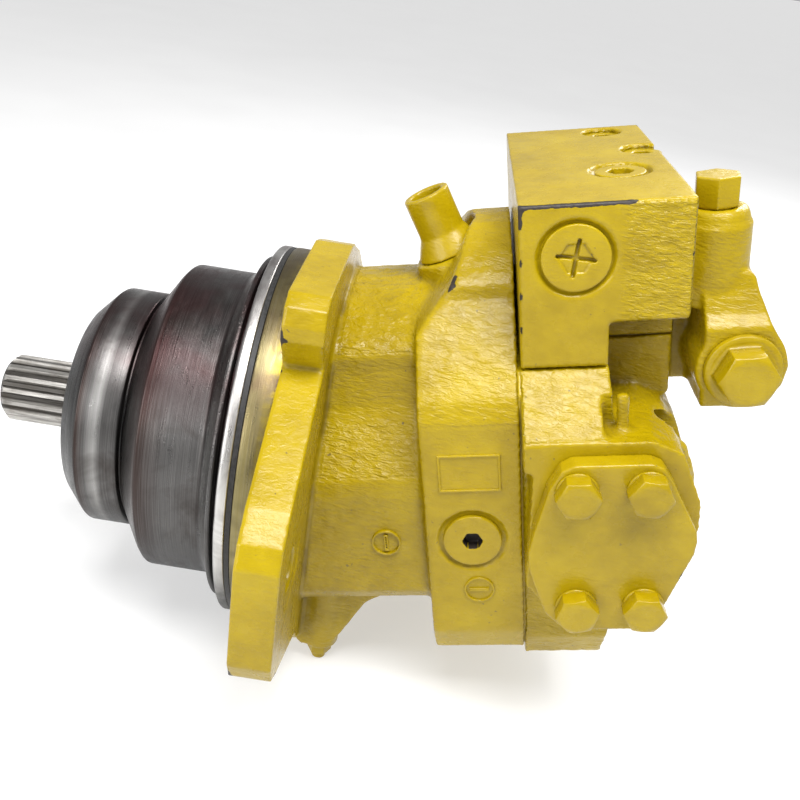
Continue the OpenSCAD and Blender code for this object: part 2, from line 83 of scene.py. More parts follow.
# ---------------------------------------------------------------- materials
class Graph:
    """A material's nodes, with short calls for the ones that repeat."""

    def __init__(self, name, **sockets):
        self.mat = bpy.data.materials.new(name)
        self.mat.use_nodes = True
        self.tree = self.mat.node_tree
        self.tree.nodes.clear()
        self.bsdf = self.tree.nodes.new("ShaderNodeBsdfPrincipled")
        out = self.tree.nodes.new("ShaderNodeOutputMaterial")
        self.link(self.bsdf.outputs[0], out.inputs[0])
        self.place = self.tree.nodes.new("ShaderNodeTexCoord").outputs["Object"]
        for key, value in sockets.items():
            self.bsdf.inputs[key.replace("_", " ")].default_value = value

    def link(self, a, b):
        self.tree.links.new(a, b)

    def fill(self, socket, value):
        if isinstance(value, bpy.types.NodeSocket):
            self.link(value, socket)
        else:
            socket.default_value = value

    def put(self, name, value):
        self.fill(self.bsdf.inputs[name], value)

    def stretched(self, x, y, z):
        n = self.tree.nodes.new("ShaderNodeMapping")
        n.inputs["Scale"].default_value = (x, y, z)
        self.link(self.place, n.inputs["Vector"])
        return n.outputs[0]

    def noise(self, scale, detail=3.0, rough=0.55, at=None, twist=0.0):
        n = self.tree.nodes.new("ShaderNodeTexNoise")
        n.inputs["Scale"].default_value = scale
        n.inputs["Detail"].default_value = detail
        n.inputs["Roughness"].default_value = rough
        n.inputs["Distortion"].default_value = twist
        self.link(at or self.place, n.inputs["Vector"])
        return n.outputs[0]

    def cells(self, scale):
        n = self.tree.nodes.new("ShaderNodeTexVoronoi")
        n.inputs["Scale"].default_value = scale
        self.link(self.place, n.inputs["Vector"])
        return n.outputs["Distance"]

    def axis(self, name):
        n = self.tree.nodes.new("ShaderNodeSeparateXYZ")
        self.link(self.place, n.inputs[0])
        return n.outputs[name]

    def grade(self, value, low, high, to_low=0.0, to_high=1.0):
        n = self.tree.nodes.new("ShaderNodeMapRange")
        self.link(value, n.inputs["Value"])
        for key, v in (("From Min", low), ("From Max", high), ("To Min", to_low), ("To Max", to_high)):
            n.inputs[key].default_value = v
        return n.outputs[0]

    def do(self, kind, a, b=0.0):
        n = self.tree.nodes.new("ShaderNodeMath")
        n.operation = kind
        self.fill(n.inputs[0], a)
        self.fill(n.inputs[1], b)
        return n.outputs[0]

    def mix(self, share, a, b):
        n = self.tree.nodes.new("ShaderNodeMix")
        n.data_type = "RGBA"
        self.fill(n.inputs[0], share)
        self.fill(n.inputs[6], a)
        self.fill(n.inputs[7], b)
        return n.outputs[2]

    def ramp(self, value, stops):
        n = self.tree.nodes.new("ShaderNodeValToRGB")
        self.link(value, n.inputs[0])
        r = n.color_ramp
        while len(r.elements) < len(stops):
            r.elements.new(0.5)
        for e, (at, colour) in zip(r.elements, stops):
            e.position = at
            e.color = colour
        return n.outputs[0]

    def field(self, name):
        n = self.tree.nodes.new("ShaderNodeAttribute")
        n.attribute_name = name
        return n.outputs["Fac"]

    def bump(self, height, distance, strength):
        n = self.tree.nodes.new("ShaderNodeBump")
        n.inputs["Strength"].default_value = strength
        n.inputs["Distance"].default_value = distance
        self.link(height, n.inputs["Height"])
        return n.outputs[0]


def rgb(r, g, b):
    return (r, g, b, 1.0)


def paint(name, coat):
    """Thick yellow gloss over metal. The mesh says where it is rough and where the paint is knocked off (a
    field that also carries painted shade in one plug's socket), and where its creases take painted shade
    mixed with soiling.
    """
    g = Graph(name, Specular_IOR_Level=0.3, Coat_Weight=coat, Coat_Roughness=0.12)
    coarse, fine = g.noise(22, 3, 0.6), g.noise(160, 3, 0.6)
    blend = g.do("ADD", g.do("MULTIPLY", coarse, 0.7), g.do("MULTIPLY", fine, 0.3))
    tone = g.ramp(blend, [(0.33, rgb(0.27, 0.185, 0.0006)), (0.5, rgb(0.345, 0.242, 0.001)),
                          (0.68, rgb(0.40, 0.288, 0.002))])
    dust = g.grade(g.noise(70, 4, 0.65), 0.58, 0.72)
    tone = g.mix(g.do("MULTIPLY", dust, 0.08), tone, rgb(0.47, 0.38, 0.05))
    # painted shade in creases, mixed with patchy soiling: the crease field darkens the paint towards dark
    # brown
    patches = g.grade(g.noise(45, 4, 0.6), 0.3, 0.62)
    crease_shade_and_grime = g.do("MULTIPLY", g.grade(g.field("crease_shade_and_dirt"), 0.15, 1.0), patches)
    tone = g.mix(g.do("MULTIPLY", crease_shade_and_grime, 0.75), tone, rgb(0.085, 0.052, 0.003))
    speck = g.do("ADD", g.noise(420, 2, 0.5), g.do("MULTIPLY", g.noise(30, 2, 0.5), 0.5))
    speck = g.grade(speck, 1.02, 1.06)
    tone = g.mix(g.do("MULTIPLY", speck, 0.8), tone, rgb(0.10, 0.075, 0.03))
    ragged = g.do("MULTIPLY", g.noise(260, 4, 0.7, twist=0.6), 0.9)
    # paint knocked off at worn edges shows dark metal; the same field paints shade inside the side plug's
    # socket
    chip_and_socket_shade = g.grade(g.do("ADD", g.field("wear_and_socket_shade"), ragged), 1.12, 1.17)
    bare = g.mix(g.noise(500, 2), rgb(0.008, 0.006, 0.005), rgb(0.045, 0.034, 0.026))
    g.put("Base Color", g.mix(chip_and_socket_shade, tone, bare))
    gloss = g.grade(g.noise(60, 4, 0.6), 0.3, 0.7, 0.20, 0.36)
    dull = g.do("MAXIMUM", chip_and_socket_shade, g.do("MULTIPLY", crease_shade_and_grime, 0.5))
    g.put("Roughness", g.mix(dull, gloss, rgb(0.55, 0.55, 0.55)))
    rough = g.field("rough")
    run = g.noise(1.0, 3, 0.6, g.stretched(190, 190, 620), 0.5)
    sand = g.noise(1.0, 4, 0.62, g.stretched(800, 800, 900))
    height = g.do("ADD", g.do("MULTIPLY", run, rough), g.do("MULTIPLY", sand, 0.12))
    height = g.do("SUBTRACT", height, g.do("MULTIPLY", chip_and_socket_shade, 0.45))
    g.put("Normal", g.bump(height, 0.0011, 0.9))
    return g.mat


def turned_steel(name, dark, light):
    """Lathe-cut steel: fine rings around X, and oil that dulls it in patches."""
    g = Graph(name, Metallic=1.0, Specular_IOR_Level=0.5, Anisotropic=0.5)
    cut = g.noise(1.0, 3, 0.7, g.stretched(2600, 9, 9))
    patch = g.noise(28, 4, 0.6, twist=0.4)
    tone = g.mix(g.grade(cut, 0.3, 0.7), dark, light)
    film = g.grade(patch, 0.52, 0.75)
    tone = g.mix(g.do("MULTIPLY", film, 0.3), tone, rgb(0.05, 0.035, 0.022))
    g.put("Base Color", tone)
    g.put("Roughness", g.do("ADD", g.grade(cut, 0.3, 0.7, 0.20, 0.36), g.do("MULTIPLY", film, 0.2)))
    g.put("Normal", g.bump(cut, 0.00006, 0.5))
    return g.mat


def nose_steel(name):
    """The bearing housing's bare front: each turned band has its own tone along X, and some bands are
    painted light: black painted shade on the front cone and in the step at -74 mm, light grey painted
    highlights at -86 and -29 mm.
    """
    g = Graph(name, Metallic=1.0, Specular_IOR_Level=0.5)
    x = g.axis("X")
    ring = g.noise(1.0, 3, 0.7, g.stretched(3200, 14, 14))
    smear = g.noise(1.0, 4, 0.62, g.stretched(260, 60, 60), 0.8)
    along = g.do("ADD", x, g.do("MULTIPLY", g.do("SUBTRACT", smear, 0.5), 0.0012))
    start, end = -108, 2

    def at(mm):
        return (mm - start) / (end - start)

    black, near_black, grey = rgb(0.004, 0.004, 0.004), rgb(0.014, 0.011, 0.010), rgb(0.085, 0.082, 0.080)
    highlight_grey, warm, olive = rgb(0.30, 0.295, 0.285), rgb(0.040, 0.027, 0.024), rgb(0.24, 0.20, 0.085)
    # painted shade: black from -108 to -96.5 on the front cone and at the step at -74; painted highlights:
    # the light grey bands at -86 and -29
    bands = ((start, black), (-96.5, black), (-94.6, warm), (-91, grey), (-86, highlight_grey), (-83, grey),
             (-77, grey), (-74, black), (-71, near_black), (-60, warm), (-48, grey), (-33, grey), (-31, near_black),
             (-29, highlight_grey), (-25, grey), (-22.4, black), (-20.4, near_black), (-19.6, rgb(0.60, 0.59, 0.57)),
             (-15.3, rgb(0.58, 0.57, 0.55)), (-15.0, black), (-12.9, black), (-12.4, olive),
             (-2.5, olive), (-0.5, near_black))
    tone = g.ramp(g.grade(along, start * MM, end * MM), [(at(mm), colour) for mm, colour in bands])
    bright = g.mix(0.4, tone, rgb(0.60, 0.58, 0.56))
    tone = g.mix(g.grade(ring, 0.42, 0.72, 0.0, 0.35), tone, bright)
    stain = g.grade(g.noise(34, 4, 0.65, twist=0.5), 0.50, 0.68)
    tone = g.mix(g.do("MULTIPLY", stain, 0.5), tone, rgb(0.03, 0.022, 0.018))
    # painted shade darkens the underside, and a reddish tint stays on top
    z = g.axis("Z")
    painted_underside_shade = g.grade(g.do("ADD", z, g.do("MULTIPLY", smear, 0.03)), 0.0, -0.040)
    tone = g.mix(g.do("MULTIPLY", painted_underside_shade, 0.9), tone, rgb(0.006, 0.006, 0.006))
    blush = g.do("MULTIPLY", g.grade(z, 0.030, 0.062), g.grade(g.noise(30, 3, 0.6), 0.35, 0.6))
    tone = g.mix(g.do("MULTIPLY", blush, 0.55), tone, rgb(0.075, 0.028, 0.030))
    # yellow overspray reaches over the pilot
    drops = g.grade(g.noise(150, 3, 0.6), 0.4, 0.6)
    spray = g.do("MULTIPLY", g.grade(along, -0.0075, -0.001), drops)
    tone = g.mix(g.do("MULTIPLY", spray, 0.7), tone, rgb(0.50, 0.37, 0.01))
    g.put("Base Color", tone)
    dull = g.do("MAXIMUM", g.do("MULTIPLY", stain, 0.5), painted_underside_shade)
    g.put("Roughness", g.do("ADD", g.grade(smear, 0.3, 0.7, 0.24, 0.42), g.do("MULTIPLY", dull, 0.12)))
    scratch = g.noise(1.0, 4, 0.7, g.stretched(500, 2600, 2600))
    lines = g.do("ADD", ring, g.do("MULTIPLY", scratch, 0.6))
    pits = g.grade(g.cells(900), 0.05, 0.4)
    from_bead = g.do("ABSOLUTE", g.do("ADD", x, 0.0272))
    bead = g.do("MULTIPLY", g.grade(from_bead, 0.004, 0.002), 3.0)
    height = g.do("ADD", lines, g.do("MULTIPLY", pits, bead))
    g.put("Normal", g.bump(height, 0.00012, 0.7))
    return g.mat


def spline_steel(name):
    g = Graph(name, Metallic=1.0, Specular_IOR_Level=0.5)
    drag = g.noise(1.0, 4, 0.65, g.stretched(60, 1500, 1500))
    patch = g.noise(60, 4, 0.6, twist=0.5)
    tone = g.ramp(drag, [(0.3, rgb(0.20, 0.19, 0.175)), (0.55, rgb(0.42, 0.405, 0.38)),
                         (0.75, rgb(0.60, 0.58, 0.55))])
    spread = g.tree.nodes.new("ShaderNodeVectorMath")
    spread.operation = "LENGTH"
    flat = g.tree.nodes.new("ShaderNodeVectorMath")
    flat.operation = "MULTIPLY"
    flat.inputs[1].default_value = (0, 1, 1)
    g.link(g.place, flat.inputs[0])
    g.link(flat.outputs[0], spread.inputs[0])
    # painted shade: the spline roots darken towards the shaft's front end
    spline_root_shade = g.grade(spread.outputs["Value"], 0.0166, 0.0152)
    front = g.grade(g.axis("X"), -0.104, -0.108)
    spline_root_shade = g.do("MULTIPLY", spline_root_shade, front)
    tone = g.mix(g.do("MULTIPLY", spline_root_shade, 0.9), tone, rgb(0.016, 0.013, 0.010))
    tone = g.mix(g.do("MULTIPLY", g.grade(patch, 0.5, 0.7), 0.45), tone, rgb(0.07, 0.055, 0.04))
    g.put("Base Color", tone)
    g.put("Roughness", g.grade(patch, 0.3, 0.7, 0.28, 0.48))
    g.put("Normal", g.bump(drag, 0.0001, 0.6))
    return g.mat


def blackened(name):
    g = Graph(name, Metallic=0.85, Specular_IOR_Level=0.5)
    fine, patch = g.noise(900, 3, 0.6), g.noise(60, 4, 0.6)
    blend = g.do("ADD", g.do("MULTIPLY", fine, 0.4), g.do("MULTIPLY", patch, 0.6))
    g.put("Base Color", g.ramp(blend, [(0.35, rgb(0.02, 0.02, 0.022)), (0.6, rgb(0.07, 0.068, 0.07)),
                                       (0.8, rgb(0.14, 0.12, 0.10))]))
    g.put("Roughness", g.grade(patch, 0.3, 0.7, 0.35, 0.6))
    g.put("Normal", g.bump(fine, 0.0001, 0.5))
    return g.mat


def bronze(name):
    g = Graph(name, Metallic=1.0, Specular_IOR_Level=0.5)
    lap, patch = g.noise(1.0, 3, 0.6, g.stretched(1800, 500, 500)), g.noise(45, 4, 0.6)
    tone = g.mix(g.grade(lap, 0.3, 0.7), rgb(0.40, 0.24, 0.10), rgb(0.68, 0.46, 0.22))
    tarnish = g.do("MULTIPLY", g.grade(patch, 0.5, 0.7), 0.5)
    g.put("Base Color", g.mix(tarnish, tone, rgb(0.15, 0.08, 0.03)))
    g.put("Roughness", g.grade(patch, 0.3, 0.7, 0.22, 0.4))
    g.put("Normal", g.bump(lap, 0.00008, 0.5))
    return g.mat


def soft(name, low, high, scale, rough):
    g = Graph(name, Specular_IOR_Level=0.4)
    fine = g.noise(scale, 4, 0.65)
    g.put("Base Color", g.mix(g.grade(fine, 0.3, 0.7), low, high))
    g.put("Roughness", g.grade(fine, 0.3, 0.7, rough - 0.12, rough + 0.1))
    g.put("Normal", g.bump(fine, 0.0001, 0.6))
    return g.mat


CAST = paint("cast_paint", 0.10)
SMOOTH = paint("steel_paint", 0.16)
NOSE = nose_steel("nose_steel")
SPLINE = spline_steel("spline_steel")
MATERIALS = {
    "painted_casting": CAST,
    "painted_steel": SMOOTH,
    "seal_rubber": soft("rubber", rgb(0.008, 0.008, 0.008), rgb(0.03, 0.029, 0.028), 700, 0.5),
    "gasket_fibre": soft("painted_fibre", rgb(0.11, 0.075, 0.002), rgb(0.22, 0.16, 0.004), 900, 0.5),
    "bearing_bronze": bronze("bronze"),
    "dark_steel": blackened("black_steel"),
    "machined_steel": turned_steel("bright_steel", rgb(0.34, 0.335, 0.33), rgb(0.60, 0.59, 0.58)),
}


# ---------------------------------------------------------------- mesh helpers
def add(name, mesh, material, body, slot, *stood):
    """A finished piece that rides on its body and stands for CAD nodes."""
    o = bpy.data.objects.new(name, mesh)
    bpy.context.scene.collection.objects.link(o)
    mesh.materials.clear()
    mesh.materials.append(material)
    for p in mesh.polygons:
        p.use_smooth = True
    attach(o, body)
    if stood:
        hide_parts(*stood)


def modified(mesh, kind, **settings):
    """The mesh after one modifier of that type."""
    o = bpy.data.objects.new("scratch", mesh)
    bpy.context.scene.collection.objects.link(o)
    m = o.modifiers.new(kind, kind)
    for key, value in settings.items():
        setattr(m, key, value)
    done = bpy.data.meshes.new_from_object(o.evaluated_get(bpy.context.evaluated_depsgraph_get()))
    bpy.data.objects.remove(o)
    return done


def arrays(mesh):
    co = np.zeros(len(mesh.vertices) * 3)
    mesh.vertices.foreach_get("co", co)
    edges = np.zeros(len(mesh.edges) * 2, int)
    mesh.edges.foreach_get("vertices", edges)
    return co.reshape(-1, 3), edges.reshape(-1, 2)


def normals(mesh):
    n = np.zeros(len(mesh.vertices) * 3)
    mesh.vertex_normals.foreach_get("vector", n)
    return n.reshape(-1, 3)


def relax(co, edges, share, steps):
    """Moves each vertex towards its neighbours' middle, which rounds edges and corners."""
    count = len(co)
    a, b = edges[:, 0], edges[:, 1]
    degree = np.maximum(np.bincount(edges.ravel(), minlength=count), 1)[:, None]
    for _ in range(steps):
        total = np.stack([np.bincount(a, co[b, k], count) + np.bincount(b, co[a, k], count)
                          for k in range(3)], 1)
        co = co + 0.5 * share[:, None] * (total / degree - co)
    return co


def lumps(co, size, seed=0.0):
    """Smooth noise from -1 to 1 at each point, with lumps of about that size in metres."""
    k = 1.0 / size
    return np.array([noise.noise(Vector((p[0] * k + seed, p[1] * k, p[2] * k))) for p in co])


def to_rear(co):
    """Row-frame points in the rear body's a, y, h, in millimetres."""
    x, z = co[:, 0] / MM - PIVOT_X, co[:, 2] / MM
    c, s = math.cos(TILT), math.sin(TILT)
    return np.stack([x * c + z * s, co[:, 1] / MM, z * c - x * s], 1)


def field(mesh, name, values):
    attribute = mesh.attributes.new(name, "FLOAT", "POINT")
    attribute.data.foreach_set("value", np.asarray(values, np.float32))


def sculpt(mesh, voxel, steps, amp, share=None, rough=0.2, chips=(), keep=0.5, seed=0.0):
    """Remeshes a CAD shape finely, rounds it as cast metal is, and marks its rough and worn places and its
    creases, which the paint darkens as painted shade mixed with soiling.

    share and rough are functions of the points; rough may also be one number for the whole mesh.
    """
    m = modified(mesh, "REMESH", mode="VOXEL", voxel_size=voxel * MM, adaptivity=0.0)
    co, edges = arrays(m)
    w = np.ones(len(co)) if share is None else share(co)
    co = relax(co, edges, w, steps)
    m.vertices.foreach_set("co", co.ravel())
    m.update()
    n = normals(m)
    # convex edges move inward when relaxed further, and corners of two walls move outward
    drift = ((relax(co, edges, np.ones(len(co)), 10) - co) * n).sum(1) / (voxel * MM)
    # convex edges are worn; concave creases get the mask for painted shade mixed with soiling
    worn, crease_shade_and_dirt_mask = np.clip(-drift / 0.35, 0, 1), np.clip(drift / 0.35, 0, 1)
    r = rough(co, n) if callable(rough) else np.full(len(co), rough)
    wave = 0.6 * lumps(co, 0.007, seed) + 0.4 * lumps(co, 0.0032, seed + 9)
    co = co + n * ((wave - 0.75) * amp * MM * r * (1 - 0.5 * worn))[:, None]
    m.vertices.foreach_set("co", co.ravel())
    wear_and_socket_shade = 0.36 * worn + 0.10 * lumps(co, 0.02, seed + 3)
    for centre, radius, push in chips:
        d = np.linalg.norm((co - np.array(centre)) / MM, axis=1)
        wear_and_socket_shade = wear_and_socket_shade + push * np.clip(1.4 - d / radius, 0, 1) * (0.2 + 0.8 * worn)
    field(m, "wear_and_socket_shade", wear_and_socket_shade)
    field(m, "crease_shade_and_dirt", crease_shade_and_dirt_mask)
    field(m, "rough", r)
    return modified(m, "DECIMATE", ratio=keep)


def cut(mesh, point, direction):
    """The closed part of a mesh on the side that direction points to."""
    bm = bmesh.new()
    bm.from_mesh(mesh)
    bmesh.ops.remove_doubles(bm, verts=bm.verts, dist=1e-6)
    geom = bm.verts[:] + bm.edges[:] + bm.faces[:]
    r = bmesh.ops.bisect_plane(bm, geom=geom, dist=1e-7, plane_co=point, plane_no=direction,
                               clear_inner=True)
    rim = [e for e in r["geom_cut"] if isinstance(e, bmesh.types.BMEdge)]
    bmesh.ops.triangle_fill(bm, use_beauty=True, edges=rim)
    out = bpy.data.meshes.new("half")
    bm.to_mesh(out)
    bm.free()
    return out


def finished(bm, name):
    """The mesh with its doubled points joined and its faces turned outward."""
    bmesh.ops.remove_doubles(bm, verts=bm.verts, dist=1e-7)
    bmesh.ops.dissolve_degenerate(bm, edges=bm.edges, dist=1e-8)
    bmesh.ops.recalc_face_normals(bm, faces=bm.faces)
    m = bpy.data.meshes.new(name)
    bm.to_mesh(m)
    bm.free()
    return m


def revolve(profile, segments):
    """A closed ring or plug from (r, x) points in millimetres turned about X."""
    bm = bmesh.new()
    rows = []
    for i in range(segments):
        t = 2 * math.pi * i / segments
        rows.append([bm.verts.new((x * MM, -r * MM * math.sin(t), r * MM * math.cos(t)))
                     for r, x in profile])
    for i in range(segments):
        a, b = rows[i], rows[(i + 1) % segments]
        for j in range(len(profile)):
            k = (j + 1) % len(profile)
            bm.faces.new((a[j], a[k], b[k], b[j]))
    return finished(bm, "turned")


def softened(profile, radius):
    """A profile with each corner cut by a small three-point round."""
    out = []
    count = len(profile)
    for i, p in enumerate(profile):
        p = Vector(p)
        a, b = Vector(profile[i - 1]) - p, Vector(profile[(i + 1) % count]) - p
        r = min(radius, a.length * 0.4, b.length * 0.4)
        u, v = p + a.normalized() * r, p + b.normalized() * r
        out += [tuple(u), tuple((u + v + p * 2) / 4), tuple(v)]
    return out


def hex_stud(af, head, shank_r, shank, washer, washer_t):
    """A hexagon head on its washer face and shank, along +X from the seat, with cone-cut corners."""
    bm = bmesh.new()
    rings = []
    segments = 96
    flat = af / 2
    crown = 0.92 * flat
    for i in range(segments):
        t = 2 * math.pi * i / segments
        r = flat / math.cos((t + math.pi / 6) % (math.pi / 3) - math.pi / 6)
        drop = max(0.0, r - crown) * 0.50
        pts = [(0, -shank), (shank_r, -shank), (shank_r, 0), (washer, 0), (washer, washer_t * 0.7),
               (washer - 0.4, washer_t), (r * 0.97, washer_t), (r, washer_t + 0.5),
               (r, head - drop - 0.35), (r * 0.985, head - drop), (crown, head - 0.12),
               (crown * 0.96, head), (crown * 0.5, head), (0, head)]
        rings.append([bm.verts.new((x * MM, p * MM * math.sin(t), p * MM * math.cos(t)))
                      for p, x in pts])
    for i in range(segments):
        a, b = rings[i], rings[(i + 1) % segments]
        for j in range(len(a) - 1):
            bm.faces.new((a[j], b[j], b[j + 1], a[j + 1]))
    return modified(finished(bm, "stud"), "SUBSURF", levels=1, render_levels=1, subdivision_type="SIMPLE")


def along(point, direction, turn):
    """The matrix that takes +X at the origin to that direction at that point."""
    q = Vector(direction).normalized().to_track_quat("X", "Z")
    return Matrix.Translation(point) @ q.to_matrix().to_4x4() @ Matrix.Rotation(turn, 4, "X")


def joined(*meshes):
    """Several meshes as one."""
    bm = bmesh.new()
    for m in meshes:
        bm.from_mesh(m)
    out = bpy.data.meshes.new("joined")
    bm.to_mesh(out)
    bm.free()
    return out


# ---------------------------------------------------------------- castings
def near(co, centre, radius):
    """Which points lie within that many millimetres of a centre."""
    return np.linalg.norm((co - np.array(centre)) / MM, axis=1) < radius


# A casting's share says how far its edges are rounded, its roughness how strong the cast skin is:
# machined faces and plug seats stay crisp and smooth.
FLANGE_EDGE = FLANGE_BACK + 2.5 * MM


def housing_share(co):
    p = to_rear(co)
    w = np.ones(len(co))
    w[co[:, 0] < FLANGE_EDGE] = 0.35
    w[p[:, 0] > COLLAR_END - 1.5] = 0.12
    w[near(co, rear(*SIDE_PLUG), PLUG_FACE_R)] = 0.15
    return w


def housing_rough(co, n):
    p = to_rear(co)
    r = np.full(len(co), 0.75)
    r[co[:, 0] < FLANGE_EDGE] = 0.30
    r[(p[:, 0] > 62) & (p[:, 2] < 46)] = 0.34
    r[(n[:, 2] > 0.55) & (p[:, 0] < 62) & (co[:, 0] > FLANGE_EDGE + 0.5 * MM)] = 1.5
    r[near(co, rear(*SIDE_PLUG), PLUG_FACE_R)] = 0.1
    r[co[:, 0] < 0.8 * MM] = 0.05
    return r


def plate_rough(co, n):
    p = to_rear(co)
    r = np.full(len(co), 0.9)
    r[np.abs(p[:, 1]) > BOSS_Y - 1.5] = 0.08
    r[p[:, 0] < PLATE_START + 0.7] = 0.08
    return r


def plate_share(co):
    p = to_rear(co)
    w = np.ones(len(co))
    w[(p[:, 0] < PLATE_START + 1.5) | (np.abs(p[:, 1]) > BOSS_Y - 1)] = 0.15
    w[p[:, 2] > SEAT_H - 1] = 0.15
    return w


def block_rough(co, n):
    p = to_rear(co)
    side_face = np.abs(n[:, 1]) > 0.6
    r = np.full(len(co), 0.22)
    blend = np.clip((p[:, 0] - 143) / 6, 0, 1)
    r = np.where(side_face, 0.15 + 1.45 * blend, r)
    r[p[:, 2] > BLOCK_TOP - 1] = 0.16
    return r


def block_share(co):
    p = to_rear(co)
    w = np.full(len(co), 0.5)
    w[near(co, rear(*SPOOL_PLUG), PLUG_FACE_R)] = 0.1
    w[p[:, 2] > 131] = 0.35
    w[(p[:, 0] > 165) & (p[:, 1] < -60)] = 1.0
    return w


# worn places: centre, radius in millimetres, how much paint is gone
housing_chips = [
    ((0.006, -0.1285, -0.0445), 6.0, 1.5), ((0.001, -0.140, -0.030), 5.0, 1.1),
    ((0.017, -0.140, 0.012), 4.0, 1.0), ((0.016, -0.134, -0.0395), 4.0, 1.0),
    ((0.0175, -0.110, -0.056), 4.0, 0.9), ((0.001, -0.083, 0.090), 5.0, 0.9),
    ((0.001, -0.075, 0.073), 4.0, 0.45), (rear(77, -44, 96), 5.0, 0.9), (rear(82, -42, 101), 4.0, 0.9),
    (rear(103, -60, 78), 4.0, 0.4), ((0.0, 0.120, 0.050), 5.0, 0.5), ((0.018, 0.140, -0.030), 4.0, 0.5),
]
shell = cut(NODES["main_housing"].data, (0, 0, 0), (1, 0, 0))
housing = sculpt(shell, 1.0, 14, 0.45, housing_share, housing_rough, housing_chips, 0.6, 1.0)
add("cast_housing", housing, CAST, "casing", "painted_casting", "main_housing")

# the bearing nose from its front rim back to the flange, then forward again through its bore: r, x
NOSE_PROFILE = [
    (44, -105.5), (44.6, -106), (50, -106), (61.1, -95.4), (61.1, -75.5), (59, -74.5), (59, -73.5),
    (62, -72.5), (76.5, -63), (78.7, -61), (78.7, -32), (80.5, -29.5), (85, -27), (88.5, -25.5),
    (89, -23.5), (87.5, -22), (87.5, -20.4), (94, -20.4), (95, -19.4), (95, -15.2), (91.2, -15.2),
    (91.2, -12.8), (95, -12.8), (95, 0), (52, 0), (52, -18), (50, -20), (50, -58), (38, -58), (38, -66),
    (43, -66), (43, -101.9), (45.5, -101.9), (45.5, -103.6), (43, -103.6), (43, -104.5),
]
nose = revolve(softened(NOSE_PROFILE, 0.7), 288)
add("bearing_nose", nose, NOSE, "casing", "machined_steel", "main_housing")

plate = sculpt(NODES["port_plate"].data, 1.0, 12, 0.6, plate_share, plate_rough,
               [(rear(168, -BOSS_Y, 20), 5.0, 0.4), (rear(112, -78, -80), 5.0, 0.4)], 0.6, 4.0)
add("cast_port_plate", plate, CAST, "casing", "painted_casting", "port_plate")

block_chips = [(rear(a, BLOCK_SIDE, BLOCK_TOP), 2.2, 0.62) for a in range(106, 150, 3)]
block_chips += [(rear(BLOCK_FRONT, BLOCK_SIDE, h), 2.4, 0.55) for h in (133, 130, 127, 112, 98, 84)]
block_chips += [(rear(BLOCK_REAR, BLOCK_SIDE, 112), 2.5, 0.5), (rear(BLOCK_FRONT, 70, 134), 4.0, 0.4),
                (rear(171, 74, 134), 5.0, 0.6)]
block = sculpt(NODES["control_block"].data, 0.9, 8, 0.5, block_share, block_rough, block_chips, 0.55, 7.0)
add("control_casting", block, CAST, "casing", "painted_casting", "control_block")

arm = sculpt(NODES["end_valve_body"].data, 0.7, 14, 0.35, rough=0.55, seed=11.0)
add("valve_arm", arm, CAST, "casing", "painted_casting", "end_valve_body")

# ---------------------------------------------------------------- covers, plugs and screws
for side, node in ((-1, "near_port_cover"), (1, "far_port_cover")):
    worn_edge = [(rear(170, side * COVER_Y, -16), 4.0, 0.6)]
    cover = sculpt(NODES[node].data, 0.6, 5, 0.12, chips=worn_edge, keep=0.45, seed=13.0)
    add(node.replace("port_cover", "blanking_plate"), cover, SMOOTH, "casing", "painted_steel", node)


def painted(mesh, worn, seed):
    """Gives a hand-built mesh the fields that the paint reads."""
    co, edges = arrays(mesh)
    n = normals(mesh)
    drift = ((relax(co, edges, np.ones(len(co)), 3) - co) * n).sum(1) / MM
    field(mesh, "wear_and_socket_shade", np.clip(-drift * 0.9, 0, 0.22) + worn * lumps(co, 0.004, seed))
    # concave creases get the field for painted shade mixed with soiling
    field(mesh, "crease_shade_and_dirt", np.clip(drift * 1.2, 0, 1))
    field(mesh, "rough", np.full(len(co), 0.18))
    return mesh


def blacken(mesh, centre, radius, depth):
    """Paints shade into a socket: points below a rear Y are marked as bare, so the paint shows them near
    black.
    """
    co, _ = arrays(mesh)
    p = to_rear(co)
    inside = (p[:, 1] > depth) & (np.hypot(p[:, 0] - centre[0], p[:, 2] - centre[2]) < radius)
    values = np.zeros(len(co), np.float32)
    mesh.attributes["wear_and_socket_shade"].data.foreach_get("value", values)
    # painted shade: the socket's inside takes the paint's near-black bare colour
    values[inside] = 1.5
    mesh.attributes["wear_and_socket_shade"].data.foreach_set("value", values)


def rim(outer, inner, low_at, high_at, place=lambda u, v, w: rear(u, w, v)):
    """A closed band between two loops of points, standing up from one level to another."""
    bm = bmesh.new()
    loops = []
    for points, level in ((outer, low_at), (outer, high_at), (inner, high_at), (inner, low_at)):
        loops.append([bm.verts.new(place(u, v, level)) for u, v in points])
    count = len(outer)
    for k in range(4):
        for i in range(count):
            j = (i + 1) % count
            bm.faces.new((loops[k][i], loops[k][j], loops[(k + 1) % 4][j], loops[(k + 1) % 4][i]))
    return finished(bm, "rim")


def circle(a, h, r):
    """A loop for rim, and box below is another."""
    turns = [2 * math.pi * i / 48 for i in range(48)]
    return [(a + r * math.cos(t), h + r * math.sin(t)) for t in turns]


def box(a, h, half_a, half_h):
    return [(a + i * half_a, h + j * half_h) for i, j in ((-1, -1), (1, -1), (1, 1), (-1, 1))]


